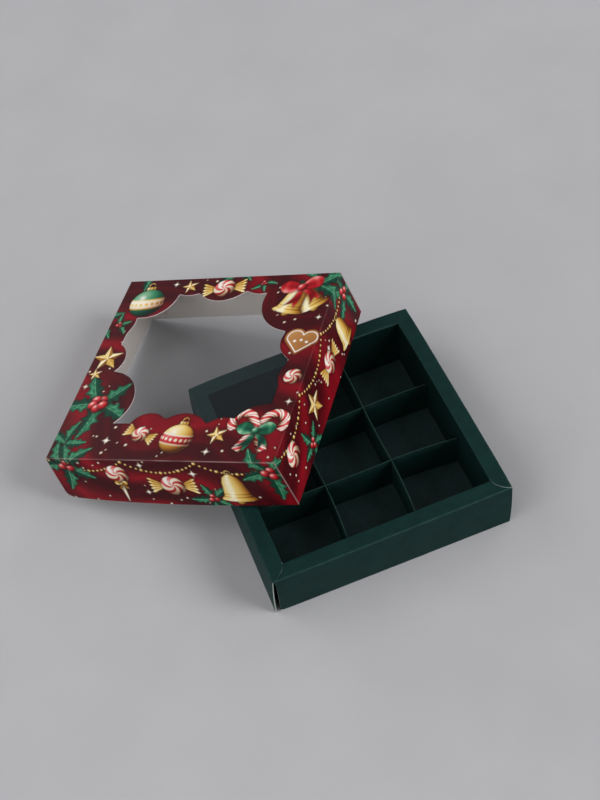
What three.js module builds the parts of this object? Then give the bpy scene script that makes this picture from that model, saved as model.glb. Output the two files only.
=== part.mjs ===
// Candy box: a nine-cell tray of folded board, its interlocking dividers, and a window lid leaning on it.
// Millimetres, +Z up. The origin is the middle of the tray's underside and the tray's front faces -Y.

import * as THREE from 'three';

// Board and film
const board = 0.5;
const filmThickness = 0.25;
const foldGap = 0.3;

// Tray, outside sizes
const traySide = 145;
const trayHeight = 36;
const rimWidth = 9.7;

// Dividers
const cellsPerSide = 3;
const dividerHeight = 25;
const dividerSeat = 0.3;
const dividerEndPlay = 0.4;
const slotPlay = 0.3;

// Lid
const lidClearance = 1.0;
const lidHeight = 36;
const glueTabWidth = 12;
const glueTabInset = 3;

// Window in the lid: margins to the lid's edges, rounded corners and the glued rim of the film
const windowMargin = { left: 15.5, right: 14, front: 27, back: 13 };
const windowCorner = 12;
const filmOverlap = 7;

// Round lobes of board that reach into the window: place from the lid's middle, and radius
const windowLobes = [
  { x: -56, y: -30, radius: 24 },
  { x: -65, y: 4, radius: 14 },
  { x: -66, y: 36, radius: 10 },
  { x: -53, y: 60, radius: 20 },
  { x: -26, y: 70, radius: 11 },
  { x: -2, y: 73, radius: 20 },
  { x: 25, y: 70, radius: 12 },
  { x: 56, y: 52, radius: 27 },
  { x: 67, y: 18, radius: 16 },
  { x: 68, y: -10, radius: 10 },
  { x: 58, y: -52, radius: 20 },
  { x: 34, y: -54, radius: 12 },
  { x: 8, y: -57, radius: 18 },
  { x: -15, y: -52, radius: 13 },
];
const lobeBlend = 1.6;
const windowSteps = 240;

// The lid leans with one lower corner on the ground, its front edge on the tray's left rim
// and its right edge on the tray's back rim
const lidTurn = THREE.MathUtils.degToRad(-35.7);
const frontEdgeRest = 112.2;
const rightEdgeRest = 12.8;
const restGap = 0.3;

// Sizes that follow from these
const half = traySide / 2;
const inner = half - rimWidth;
const cellPitch = (2 * inner) / cellsPerSide;
const lidSide = traySide + 2 * (lidClearance + board);
const lidHalf = lidSide / 2;
const sides = ['front', 'right', 'back', 'left'];

// Materials
const greenBoard = { color: '#173a36', roughness: 0.75, metalness: 0 };
const darkBoard = { color: '#102c28', roughness: 0.8, metalness: 0 };
const redBoard = { color: '#5a0d16', roughness: 0.45, metalness: 0 };
const paleBoard = { color: '#c9c7c2', roughness: 0.85, metalness: 0 };
const clearFilm = { color: '#dfe6e8', roughness: 0.05, metalness: 0, transparent: true, opacity: 0.25 };

const box = new THREE.Group();
const lid = new THREE.Group();
box.add(lid);

function addPiece(group, name, geometry, look) {
  const piece = new THREE.Mesh(geometry, new THREE.MeshStandardMaterial(look));
  piece.name = name;
  group.add(piece);
  return piece;
}

// A block given by its lowest and highest corners
function addBlock(group, name, low, high, look) {
  const size = high.map((value, axis) => value - low[axis]);
  const piece = addPiece(group, name, new THREE.BoxGeometry(...size), look);
  piece.position.set(...low.map((value, axis) => value + size[axis] / 2));
  return piece;
}

// A sheet cut to an outline, its lower face on z = 0
function sheet(outline, thickness, curveSegments) {
  return new THREE.ExtrudeGeometry(outline, { depth: thickness, bevelEnabled: false, curveSegments });
}

// An upright panel on one side of a square: it stands between two distances from the middle,
// reaches as far as `reach` to both ends, and rises from `low` to `high`
function addSidePanel(group, name, side, near, far, reach, low, high, look) {
  const sign = side === 'front' || side === 'left' ? -1 : 1;
  const [from, to] = sign < 0 ? [-far, -near] : [near, far];
  if (side === 'front' || side === 'back') {
    return addBlock(group, name, [-reach, from, low], [reach, to, high], look);
  }
  return addBlock(group, name, [from, -reach, low], [to, reach, high], look);
}

function isCrossSide(side) {
  return side === 'front' || side === 'back';
}

// Tray: floor, then outer wall, rim and inner wall on each side
// The front and back rims lie one board lower and run on under the ends of the left and right rims
function addTray() {
  addBlock(box, 'tray_floor', [-half, -half, 0], [half, half, board], greenBoard);
  for (const side of sides) {
    const cross = isCrossSide(side);
    const rimTop = cross ? trayHeight - board : trayHeight;
    const wallTop = rimTop - board;
    const outerReach = cross ? half : half - board;
    addSidePanel(box, `tray_wall_${side}`, side, half - board, half, outerReach, board, wallTop, greenBoard);
    addSidePanel(box, `tray_inner_wall_${side}`, side, inner, inner + board, inner, board, wallTop, darkBoard);
    if (cross) {
      addSidePanel(box, `tray_rim_${side}`, side, inner, half, half - board, wallTop, rimTop, greenBoard);
    } else {
      addRoundedRim(side);
    }
  }
}

// A left or right rim: a straight strip whose inner corners are rounded off by the rim's own width
function addRoundedRim(side) {
  const outline = new THREE.Shape();
  outline.moveTo(half, -half);
  outline.lineTo(half, half);
  outline.absarc(half, inner, rimWidth, Math.PI / 2, Math.PI, false);
  outline.absarc(half, -inner, rimWidth, Math.PI, 1.5 * Math.PI, false);
  const rim = addPiece(box, `tray_rim_${side}`, sheet(outline, board, 8), greenBoard);
  rim.position.z = trayHeight - board;
  if (side === 'left') {
    rim.rotation.z = Math.PI;
  }
}

// One divider strip as seen from its face: slots half its height, cut from the top or from the bottom
function dividerOutline(slotsOnTop) {
  const reach = inner - dividerEndPlay;
  const slotHalf = board / 2 + slotPlay;
  const slotDepth = dividerHeight / 2 + slotPlay;
  const openEdge = slotsOnTop ? dividerHeight : 0;
  const slotEnd = slotsOnTop ? dividerHeight - slotDepth : slotDepth;
  const outline = new THREE.Shape();
  outline.moveTo(-reach, openEdge);
  for (let cell = 1; cell < cellsPerSide; cell += 1) {
    const place = -inner + cell * cellPitch;
    outline.lineTo(place - slotHalf, openEdge);
    outline.lineTo(place - slotHalf, slotEnd);
    outline.lineTo(place + slotHalf, slotEnd);
    outline.lineTo(place + slotHalf, openEdge);
  }
  outline.lineTo(reach, openEdge);
  outline.lineTo(reach, dividerHeight - openEdge);
  outline.lineTo(-reach, dividerHeight - openEdge);
  return outline;
}

// Dividers: the lower strips run from left to right, the upper strips from front to back
function addDividers() {
  const bottom = board + dividerSeat;
  for (let cell = 1; cell < cellsPerSide; cell += 1) {
    const place = -inner + cell * cellPitch;
    const lower = addPiece(box, `lower_divider_${cell}`, sheet(dividerOutline(true), board), darkBoard);
    lower.rotation.x = Math.PI / 2;
    lower.position.set(0, place + board / 2, bottom);
    const upper = addPiece(box, `upper_divider_${cell}`, sheet(dividerOutline(false), board), darkBoard);
    upper.rotation.set(Math.PI / 2, 0, Math.PI / 2, 'ZYX');
    upper.position.set(place - board / 2, 0, bottom);
  }
}

// How far the window reaches from the lid's middle along one direction: the nearest of its straight
// sides, its rounded corners and the lobes, blended so that no inward corner stays sharp
function windowReach(angle) {
  const ray = new THREE.Vector2(Math.cos(angle), Math.sin(angle));
  const low = new THREE.Vector2(windowMargin.left - lidHalf, windowMargin.front - lidHalf);
  const high = new THREE.Vector2(lidHalf - windowMargin.right, lidHalf - windowMargin.back);
  const edge = new THREE.Vector2(ray.x < 0 ? low.x : high.x, ray.y < 0 ? low.y : high.y);
  const reaches = [roundedCornerReach(ray, edge)];
  for (const lobe of windowLobes) {
    const along = ray.x * lobe.x + ray.y * lobe.y;
    const aside = ray.x * lobe.y - ray.y * lobe.x;
    if (along > 0 && Math.abs(aside) < lobe.radius) {
      reaches.push(along - Math.sqrt(lobe.radius ** 2 - aside ** 2));
    }
  }
  const blended = reaches.reduce((sum, reach) => sum + Math.exp(-reach / lobeBlend), 0);
  return -lobeBlend * Math.log(blended);
}

// Reach to one quarter of a rectangle whose corner is rounded
function roundedCornerReach(ray, edge) {
  const centre = new THREE.Vector2(
    edge.x - Math.sign(edge.x) * windowCorner,
    edge.y - Math.sign(edge.y) * windowCorner,
  );
  const toSide = Math.abs(ray.x) > 0 ? edge.x / ray.x : Infinity;
  const toEnd = Math.abs(ray.y) > 0 ? edge.y / ray.y : Infinity;
  const hitsSide = Math.abs(toSide * ray.y) <= Math.abs(centre.y);
  const hitsEnd = Math.abs(toEnd * ray.x) <= Math.abs(centre.x);
  if (hitsSide && toSide <= toEnd) {
    return toSide;
  }
  if (hitsEnd && toEnd <= toSide) {
    return toEnd;
  }
  const along = ray.dot(centre);
  const aside = ray.cross(centre);
  return along + Math.sqrt(windowCorner ** 2 - aside ** 2);
}

function windowOutline() {
  const points = [];
  for (let step = 0; step < windowSteps; step += 1) {
    const angle = (2 * Math.PI * step) / windowSteps;
    const reach = windowReach(angle);
    points.push(new THREE.Vector2(reach * Math.cos(angle), reach * Math.sin(angle)));
  }
  return new THREE.Path(points);
}

// Lid: top with its window, four walls, a glue tab behind each wall end, and the film
function addLid() {
  const underTop = lidHeight - board;
  const wallTop = underTop - foldGap;
  const top = new THREE.Shape([
    new THREE.Vector2(-lidHalf, -lidHalf),
    new THREE.Vector2(lidHalf, -lidHalf),
    new THREE.Vector2(lidHalf, lidHalf),
    new THREE.Vector2(-lidHalf, lidHalf),
  ]);
  top.holes.push(windowOutline());
  addPiece(lid, 'lid_top', sheet(top, board), redBoard).position.z = underTop;
  for (const side of sides) {
    const reach = isCrossSide(side) ? lidHalf : lidHalf - board - foldGap;
    addSidePanel(lid, `lid_wall_${side}`, side, lidHalf - board, lidHalf, reach, 0, wallTop, redBoard);
  }
  addGlueTabs(wallTop);
  addFilm(underTop - foldGap);
}

// The left and right walls end in tabs that are glued behind the front and back walls
function addGlueTabs(wallTop) {
  const far = lidHalf - board - foldGap;
  for (const [endName, endSign] of [['front', -1], ['back', 1]]) {
    for (const [sideName, sideSign] of [['left', -1], ['right', 1]]) {
      const acrossFrom = sideSign * (far - foldGap - glueTabWidth);
      const acrossTo = sideSign * (far - foldGap);
      const depthFrom = endSign * (far - board);
      const depthTo = endSign * far;
      addBlock(
        lid,
        `lid_glue_tab_${endName}_${sideName}`,
        [Math.min(acrossFrom, acrossTo), Math.min(depthFrom, depthTo), glueTabInset],
        [Math.max(acrossFrom, acrossTo), Math.max(depthFrom, depthTo), wallTop - glueTabInset],
        paleBoard,
      );
    }
  }
}

function addFilm(filmTop) {
  const low = [windowMargin.left - filmOverlap - lidHalf, windowMargin.front - filmOverlap - lidHalf];
  const high = [lidHalf - windowMargin.right + filmOverlap, lidHalf - windowMargin.back + filmOverlap];
  addBlock(lid, 'window_film', [...low, filmTop - filmThickness], [...high, filmTop], clearFilm);
}

// Leaning pose: the slopes along the lid's two sides that put its lower face on the three rests
function leanLid() {
  const spread = lidSide ** 2 - frontEdgeRest * rightEdgeRest;
  const slopeAcross = (trayHeight * (lidSide - rightEdgeRest)) / spread;
  const slopeDeep = (-trayHeight * (lidSide - frontEdgeRest)) / spread;
  const pitch = -Math.asin(slopeAcross);
  const bank = Math.asin(slopeDeep / Math.cos(pitch));
  lid.rotation.set(bank, pitch, lidTurn, 'ZYX');
  const across = new THREE.Vector3(1, 0, 0).applyEuler(lid.rotation);
  const deep = new THREE.Vector3(0, 1, 0).applyEuler(lid.rotation);
  const groundCorner = new THREE.Vector3(
    -half + lidSide * deep.x - frontEdgeRest * across.x,
    half - lidSide * across.y + rightEdgeRest * deep.y,
    restGap,
  );
  lid.position.copy(groundCorner).addScaledVector(across, lidHalf).addScaledVector(deep, -lidHalf);
}

addTray();
addDividers();
addLid();
leanLid();

export default box;
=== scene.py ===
import math
import random

import bmesh
import bpy
import numpy as np
from mathutils import Matrix, Vector


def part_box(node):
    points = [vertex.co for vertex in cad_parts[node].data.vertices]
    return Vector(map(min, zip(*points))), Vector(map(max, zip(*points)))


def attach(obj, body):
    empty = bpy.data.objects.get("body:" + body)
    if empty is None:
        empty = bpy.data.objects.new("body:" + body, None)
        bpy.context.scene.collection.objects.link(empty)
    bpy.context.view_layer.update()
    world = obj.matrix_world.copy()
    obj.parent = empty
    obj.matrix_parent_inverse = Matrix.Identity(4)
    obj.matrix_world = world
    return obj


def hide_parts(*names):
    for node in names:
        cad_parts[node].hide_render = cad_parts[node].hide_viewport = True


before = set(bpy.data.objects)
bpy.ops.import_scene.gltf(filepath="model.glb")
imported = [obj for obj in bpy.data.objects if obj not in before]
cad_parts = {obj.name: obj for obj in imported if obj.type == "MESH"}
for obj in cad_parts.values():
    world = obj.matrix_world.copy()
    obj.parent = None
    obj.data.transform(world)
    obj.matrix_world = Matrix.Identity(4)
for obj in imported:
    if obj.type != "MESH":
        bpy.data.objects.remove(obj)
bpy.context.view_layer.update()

# A candy box with its lid off: a dark green folded tray with crossed dividers, and a printed lid
# with a film window, which stands on the ground at one corner and leans on the tray.
# Sizes here are in millimetres. The meshes are in metres.

MM = 0.001


def corners(node):
    """Lowest and highest corner of a CAD node, in millimetres."""
    low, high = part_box(node)
    return low / MM, high / MM


# Tray sizes, from the frame

wall_low, wall_high = corners("tray_wall_front")
BOARD = wall_high.y - wall_low.y
TRAY_HALF = -wall_low.y
TRAY_TOP = corners("tray_rim_left")[1].z
TRAY_INNER = corners("tray_inner_wall_right")[0].x
RIM_WIDTH = TRAY_HALF - TRAY_INNER
FLOOR_TOP = corners("tray_floor")[1].z
CREASE = 0.8             # outer radius of a fold in the tray's board
SKIN_GAP = 0.06          # air between two boards that lie on each other

# Lid sizes and how it leans, as in the part

LID_CLEARANCE = 1.0
LID_HALF = TRAY_HALF + LID_CLEARANCE + BOARD
LID_SIDE = 2 * LID_HALF
LID_HEIGHT = 36.0
LID_FOLD = 0.7           # outer radius of a fold in the lid's board
LID_TURN = math.radians(-35.7)
FRONT_EDGE_REST = 112.2
RIGHT_EDGE_REST = 12.8
REST_GAP = 0.3
TAB_WIDTH = 12.0
TAB_INSET = 3.0
TAB_COLUMNS = 7
TAB_ROWS = 12
FILM_OVERLAP = 7.0
FILM_THICKNESS = 0.2
FILM_SAG = 0.15
FILM_RIPPLE = 0.6        # as a share of the sag
FILM_CELLS = 48

WINDOW_LEFT = -LID_HALF + 15.5
WINDOW_RIGHT = LID_HALF - 14.0
WINDOW_FRONT = -LID_HALF + 27.0
WINDOW_BACK = LID_HALF - 13.0
WINDOW_CORNER = 12.0
LOBE_BLEND = 1.6
# Round lobes of board that reach into the window: x, y and radius, from the lid's middle
WINDOW_LOBES = (
    (-56, -30, 24), (-65, 4, 14), (-66, 36, 10), (-53, 60, 20), (-26, 70, 11),
    (-2, 73, 20), (25, 70, 12), (56, 52, 27), (67, 18, 16), (68, -10, 10),
    (58, -52, 20), (34, -54, 12), (8, -57, 18), (-15, -52, 13),
)

# Outward direction and left-to-right direction of each side, seen from outside
SIDES = {
    "front": ((0, -1), (1, 0)),
    "right": ((1, 0), (0, 1)),
    "back": ((0, 1), (-1, 0)),
    "left": ((-1, 0), (0, -1)),
}
# How far each lid wall leans out at its lower edge: at its left end, its right end and, on top
# of that, at its middle, seen from outside with the print upright
WALL_SPREAD = dict(
    front=(1.2, 1.2, 3.0), right=(3.4, 2.7, 0.6), back=(1.6, 0.5, 0.8), left=(0.5, 1.4, 0.5),
)


def next_side(side, step):
    """The side that meets this one at its right end, or at its left end where step is -1."""
    order = list(SIDES)
    return order[(order.index(side) + step) % len(order)]


def on_side(side, out, place, *more):
    """Points at a distance out and a place along a side, stacked with further coordinates."""
    outward, along = SIDES[side]
    flat = [outward[axis] * out + along[axis] * place for axis in (0, 1)]
    return np.stack([*flat, *more], axis=-1)


def lid_pose():
    """Where the lid lies: one lower corner on the ground, two lower edges on the tray's rim."""
    spread = LID_SIDE**2 - FRONT_EDGE_REST * RIGHT_EDGE_REST
    slope_across = TRAY_TOP * (LID_SIDE - RIGHT_EDGE_REST) / spread
    slope_deep = -TRAY_TOP * (LID_SIDE - FRONT_EDGE_REST) / spread
    pitch = -math.asin(slope_across)
    bank = math.asin(slope_deep / math.cos(pitch))
    turn = Matrix.Rotation(LID_TURN, 4, "Z") @ Matrix.Rotation(pitch, 4, "Y")
    turn = turn @ Matrix.Rotation(bank, 4, "X")
    across = turn.col[0].xyz
    deep = turn.col[1].xyz
    ground_corner = Vector((
        -TRAY_HALF + LID_SIDE * deep.x - FRONT_EDGE_REST * across.x,
        TRAY_HALF - LID_SIDE * across.y + RIGHT_EDGE_REST * deep.y,
        REST_GAP,
    ))
    middle = ground_corner + LID_HALF * (across - deep)
    return Matrix.Translation(middle * MM) @ turn


# Mesh helpers

SHARP_ANGLE = math.radians(32)


def grid_faces(rows, columns, wrapped=False, start=0):
    """Quads of a grid of points counted row by row; wrapped joins the last column to the first."""
    last = columns if wrapped else columns - 1
    row, column = np.meshgrid(np.arange(rows - 1), np.arange(last), indexing="ij")
    after = (column + 1) % columns
    here = row * columns
    there = here + columns
    quads = np.stack([here + column, here + after, there + after, there + column], axis=-1)
    return (quads.reshape(-1, 4) + start).tolist()


def make_mesh(name, points, looks, *groups):
    """A mesh in metres with outward normals, smooth but for its sharp edges. Each look has its
    own group of faces. Points that no face uses are left out."""
    mesh = bpy.data.meshes.new(name)
    mesh.from_pydata((points * MM).tolist(), [], sum(groups, []))
    for look in looks:
        mesh.materials.append(look)
    slots = np.repeat(np.arange(len(groups), dtype=np.int32), [len(group) for group in groups])
    mesh.polygons.foreach_set("material_index", slots)
    shell = bmesh.new()
    shell.from_mesh(mesh)
    unused = [point for point in shell.verts if not point.link_faces]
    bmesh.ops.delete(shell, geom=unused, context="VERTS")
    bmesh.ops.recalc_face_normals(shell, faces=shell.faces)
    shell.to_mesh(mesh)
    shell.free()
    mesh.shade_smooth()
    mesh.set_sharp_from_angle(angle=SHARP_ANGLE)
    mesh.update()
    return mesh


def set_values(mesh, name, values):
    """Keeps one number for each point, for the materials to read."""
    layer = mesh.attributes.new(name, "FLOAT", "POINT")
    layer.data.foreach_set("value", np.asarray(values, np.float32))


def panel(name, front, back, looks, wrapped=False):
    """A closed board between a front and a back grid of points with the same columns.
    The looks are those of its front, its back and its cut edges."""
    rows, columns = front.shape[:2]
    back_rows = back.shape[0]
    behind = rows * columns
    end = behind + back_rows * columns
    edges = []
    for near, far in ((0, behind), (behind - columns, end - columns)):
        for column in range(columns if wrapped else columns - 1):
            after = (column + 1) % columns
            edges.append([near + column, near + after, far + after, far + column])
    for column in () if wrapped else (0, columns - 1):
        down = list(range(column, behind, columns))
        up = list(range(behind + column, end, columns))
        if rows == back_rows:
            for row in range(rows - 1):
                edges.append([down[row], down[row + 1], up[row + 1], up[row]])
        else:
            edges.append(down + up[::-1])
    points = np.concatenate([front.reshape(-1, 3), back.reshape(-1, 3)])
    front_faces = grid_faces(rows, columns, wrapped)
    back_faces = grid_faces(back_rows, columns, wrapped, behind)
    return make_mesh(name, points, looks, front_faces, back_faces, edges)


def thick_sheet(name, front, back, faces, looks):
    """A closed board from the faces of its front; the back has the same points, moved."""
    count = len(front)
    sides = {pair for face in faces for pair in zip(face, face[1:] + face[:1])}
    edges = []
    for one, two in sorted(sides):
        if (two, one) not in sides:
            edges.append([two, one, one + count, two + count])
    back_faces = [[corner + count for corner in reversed(face)] for face in faces]
    return make_mesh(name, np.concatenate([front, back]), looks, faces, back_faces, edges)


def add_object(name, data):
    made = bpy.data.objects.new(name, data)
    bpy.context.scene.collection.objects.link(made)
    return made


def add_piece(name, mesh, body, nodes):
    piece = add_object(name, mesh)
    if body == "lid":
        piece.matrix_world = lid_pose()
    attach(piece, body)
    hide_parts(*nodes)


# Colours and materials

def linear(colour):
    """A colour written as 0 to 255 values, as the linear light that shaders use."""
    part = np.asarray(colour, float) / 255
    return np.where(part <= 0.04045, part / 12.92, ((part + 0.055) / 1.055) ** 2.4)


def rgba(colour):
    return (*linear(colour), 1.0)


def grey(value):
    return (value, value, value, 1.0)


def by_identifier(sockets, identifier):
    return next(one for one in sockets if one.identifier == identifier)


class Tree:
    """The nodes and links of a material or of the world."""

    def __init__(self, node_tree):
        self.nodes = node_tree.nodes
        self.links = node_tree.links

    def feed(self, socket, value):
        """Links another node's output to a socket, or sets a plain value there."""
        if isinstance(value, bpy.types.NodeSocket):
            self.links.new(value, socket)
        else:
            socket.default_value = value

    def node(self, kind, inputs=None):
        """A new node, with values or links for some of its inputs, by name or number."""
        made = self.nodes.new("ShaderNode" + kind)
        for name, value in (inputs or {}).items():
            self.feed(made.inputs[name], value)
        return made

    def math(self, operation, first, second):
        node = self.node("Math", {0: first, 1: second})
        node.operation = operation
        return node.outputs["Value"]


class Look(Tree):
    """A material being made, with its main shader and the place on the piece for its textures."""

    def __init__(self, name):
        self.material = bpy.data.materials.new(name)
        self.material.use_nodes = True
        super().__init__(self.material.node_tree)
        self.shader = self.nodes["Principled BSDF"]
        self.place = self.node("TexCoord").outputs["Object"]

    def noise(self, size, detail, stretch=(1, 1, 1)):
        """Noise whose features are about size millimetres wide, times stretch along X, Y and Z."""
        scale = [1 / (size * MM * part) for part in stretch]
        spots = self.node("Mapping", {"Vector": self.place, "Scale": scale}).outputs["Vector"]
        values = {"Vector": spots, "Scale": 1.0, "Detail": detail, "Roughness": 0.55}
        return self.node("TexNoise", values).outputs["Fac"]

    def ramp(self, value, stops):
        """Colours along a value from 0 to 1."""
        node = self.node("ValToRGB", {"Fac": value})
        points = node.color_ramp.elements
        while len(points) < len(stops):
            points.new(0.5)
        for point, (position, colour) in zip(points, stops):
            point.position = position
            point.color = colour
        return node.outputs["Color"]

    def between(self, value, first, second, start=0.3, end=0.7):
        """From one colour to another while a value runs from start to end."""
        return self.ramp(value, ((start, first), (end, second)))

    def mix(self, share, first, second, blend="MIX"):
        node = self.node("Mix")
        node.data_type = "RGBA"
        node.blend_type = blend
        for name, value in (("Factor_Float", share), ("A_Color", first), ("B_Color", second)):
            self.feed(by_identifier(node.inputs, name), value)
        return by_identifier(node.outputs, "Result_Color")

    def times(self, colour, tone):
        return self.mix(1.0, colour, tone, "MULTIPLY")

    def attribute(self, name, output="Fac"):
        node = self.node("Attribute")
        node.attribute_name = name
        return node.outputs[output]

    def bump(self, height, depth, strength=0.5):
        """Small hills of depth millimetres where height runs from 0 to 1."""
        node = self.node("Bump", {"Height": height, "Strength": strength, "Distance": depth * MM})
        self.feed(self.shader.inputs["Normal"], node.outputs["Normal"])

    def finish(self, colour, roughness, shine):
        values = {"Base Color": colour, "Roughness": roughness, "Specular IOR Level": shine}
        for name, value in values.items():
            self.feed(self.shader.inputs[name], value)
        return self.material


# The darker green painted on the tray's inner walls as shade
INSIDE_SHADE_GREEN = (1, 16, 14)


def green_board(name, dark, light, worn):
    """Matt green board with fibre mottling, rubbed paler where the wear value is high, and with
    painted shade, a darker green, where the inside value is high."""
    look = Look(name)
    fibre = look.noise(0.7, detail=4, stretch=(1, 3.2, 1))
    board_green = look.between(look.noise(9, detail=5), rgba(dark), rgba(light), end=0.72)
    board_green = look.times(board_green, look.between(fibre, grey(0.78), grey(1.2), 0.28, 0.74))
    # Painted shade: the inner walls turn to a darker green where the inside value is high
    board_green = look.mix(look.attribute("inside"), board_green, rgba(INSIDE_SHADE_GREEN))
    rub = look.between(look.noise(4, detail=4), grey(0.25), grey(1.0))
    wear = look.math("MULTIPLY", look.attribute("wear"), rub)
    wear.node.use_clamp = True
    look.bump(fibre, 0.05)
    rough = look.between(fibre, grey(0.50), grey(0.66))
    return look.finish(look.mix(wear, board_green, rgba(worn)), rough, shine=0.12)


def cut_board(name, dark, light, board_green=None):
    """The pale pressed fibres that show where board is cut; where the given point value is high
    they turn to the given dark board green.
    """
    look = Look(name)
    layers = look.noise(0.5, detail=4, stretch=(3, 3, 0.6))
    colour = look.between(layers, rgba(dark), rgba(light), 0.25, 0.75)
    if board_green:
        colour = look.mix(look.attribute("green_cut_share"), colour, rgba(board_green))
    look.bump(layers, 0.04)
    return look.finish(colour, roughness=0.85, shine=0.1)


def bare_board(name, dark, light):
    """Unprinted white board, faintly warm, with fibres."""
    look = Look(name)
    fibre = look.noise(0.9, detail=4, stretch=(2.6, 1, 1))
    colour = look.between(look.noise(16, detail=5), rgba(dark), rgba(light))
    colour = look.times(colour, look.between(fibre, grey(0.95), grey(1.03)))
    look.bump(fibre, 0.03)
    return look.finish(colour, roughness=0.5, shine=0.5)


def printed_board(name):
    """The lid's printed side: its ink colours, a fine paper grain and a satin finish."""
    look = Look(name)
    grain = look.noise(0.45, detail=3)
    soft = look.noise(14, detail=4)
    tone = look.between(grain, grey(0.86), grey(1.12), 0.25, 0.75)
    colour = look.times(look.attribute("ink", "Color"), tone)
    colour = look.times(colour, look.between(soft, grey(0.92), grey(1.06)))
    look.bump(grain, 0.012, strength=0.35)
    return look.finish(colour, look.between(soft, grey(0.42), grey(0.54)), shine=0.12)


# How much of the film's look is shine and how much is haze, from seen square on to seen along it
FILM_SHINE = ((0.35, grey(0.0)), (0.75, grey(0.03)), (1.0, grey(0.4)))
FILM_HAZE = ((0.0, grey(0.012)), (0.4, grey(0.014)), (0.75, grey(0.06)), (1.0, grey(0.25)))
FILM_MILK = (0.80, 0.88, 1.0, 1.0)
FILM_ROUGHNESS = 0.22


def clear_film(name):
    """Thin clear film: what lies behind shows through, under a faint milky haze and a shine."""
    look = Look(name)
    tint = look.between(look.noise(70, detail=1), grey(0.88), grey(0.93))
    clear = look.node("BsdfTransparent", {"Color": tint}).outputs["BSDF"]
    milky = look.node("BsdfDiffuse", {"Color": FILM_MILK}).outputs["BSDF"]
    shine = look.node("BsdfGlossy", {"Color": grey(0.9), "Roughness": FILM_ROUGHNESS})
    facing = look.node("LayerWeight", {"Blend": 0.5}).outputs["Facing"]
    hazy = look.node("MixShader", {0: look.ramp(facing, FILM_HAZE), 1: clear, 2: milky})
    shares = {0: look.ramp(facing, FILM_SHINE), 1: hazy.outputs[0], 2: shine.outputs[0]}
    both = look.node("MixShader", shares)
    look.feed(look.nodes["Material Output"].inputs["Surface"], both.outputs[0])
    look.nodes.remove(look.shader)
    return look.material


GREEN = green_board("green_board", (5, 36, 34), (10, 45, 42), (40, 68, 64))
# A lighter, greyer copy of the green board for the floor's upper face: painted sheen and light on
# the cell floors
CELL_FLOOR_SHEENED = green_board("cell_floor_board_painted_sheen", (25, 41, 41), (33, 51, 51), (40, 68, 64))
GREEN_CUT = cut_board("green_board_cut", (126, 138, 132), (178, 186, 180), board_green=(12, 46, 43))
DIVIDER = green_board("divider_board", (4, 27, 25), (8, 35, 32), (28, 54, 50))
DIVIDER_CUT = cut_board("divider_board_cut", (26, 50, 46), (44, 68, 62))
PRINTED = printed_board("printed_board")
BARE = bare_board("bare_board", (248, 238, 229), (252, 245, 238))
# A darker copy of the cut-board colour, for the cut edges of the lid's walls: painted shade
LID_CUT_SHADED = cut_board("lid_board_cut_painted_shade", (124, 96, 98), (166, 138, 138))
WINDOW_CUT = cut_board("window_cut", (222, 190, 194), (246, 226, 226))
FILM = clear_film("clear_film")


# Tray

RIM_OVER = ("left", "right")    # these two rims lie on the ends of the other two
SIDE_BULGE = dict(front=0.6, right=1.0, back=0.4, left=0.9)
SIDE_LEAN = dict(front=1.0, right=0.9, back=1.8, left=0.4)      # at the middle of the rim
LEAN_START = TRAY_INNER - 6.0
END_STIFFNESS = 0.55     # the share of its bulge and lean that a side lacks at its ends
# How far the foot of a wall stands out at its left and right end, seen from outside
SIDE_FOOT = dict(front=(0.0, 1.4), right=(0.0, 0.0), back=(0.0, 0.0), left=(1.4, 2.2))
# How far a wall stops short of the corner at its left end, at its foot and at its top
SEAM_OPENS = dict(front=(0.3, 1.4), right=(-1.2, 0.2), back=(0.3, 0.3), left=(0.2, 0.2))
SEAM_GAP = 0.15
CORNER_TUCK = dict(front=0.7, right=0.4, back=0.4, left=0.3)
TUCK_SHARE = 0.65        # the lower share of a wall's height in which its corner is tucked in
TUCK_LENGTH = 6.0
CORNER_ROUND = dict(front=4.0, right=2.0, back=2.2, left=2.0)   # lower left corner of a wall
END_FRAY = dict(front=0.0, right=0.0, back=0.0, left=0.4)       # at the foot of its right end
RIM_END_CURVE = 1.5      # the rounding of a rim's end: 1 is a straight mitre, 2 a quarter circle
RIM_BACK_END = 0.9       # how far a rim's back end reaches, as a share of its front end
RIM_WAVE = 0.06
RIM_WAVES = 5.1
FOOT_WEAR = 0.5
CREASE_WEAR = dict(front=0.8, right=0.9, back=0.9, left=0.45)
LIP_WEAR = dict(front=0.3, right=0.25, back=0.7, left=0.4)
END_WEAR = 0.005         # the share of a side's half length that is rubbed pale at a rim's cut end
END_WORN = dict(right=(3.0, 0.6), left=(0.6, 0.3))      # at a rim's left and right end
# How much painted shade darkens the tray's inner walls
INSIDE_SHADE = 0.7
# The grid of points on a side
SIDE_COLUMNS = 61
WALL_ROWS = 18
WALL_CROWDING = 1.6      # above 1, a wall's rows are closer together near its foot
RIM_ROWS = 8
INNER_ROWS = 9
CREASE_STEPS = 5
FLOOR_CELLS = 40
FLOOR_WAVE = 0.06


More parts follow.
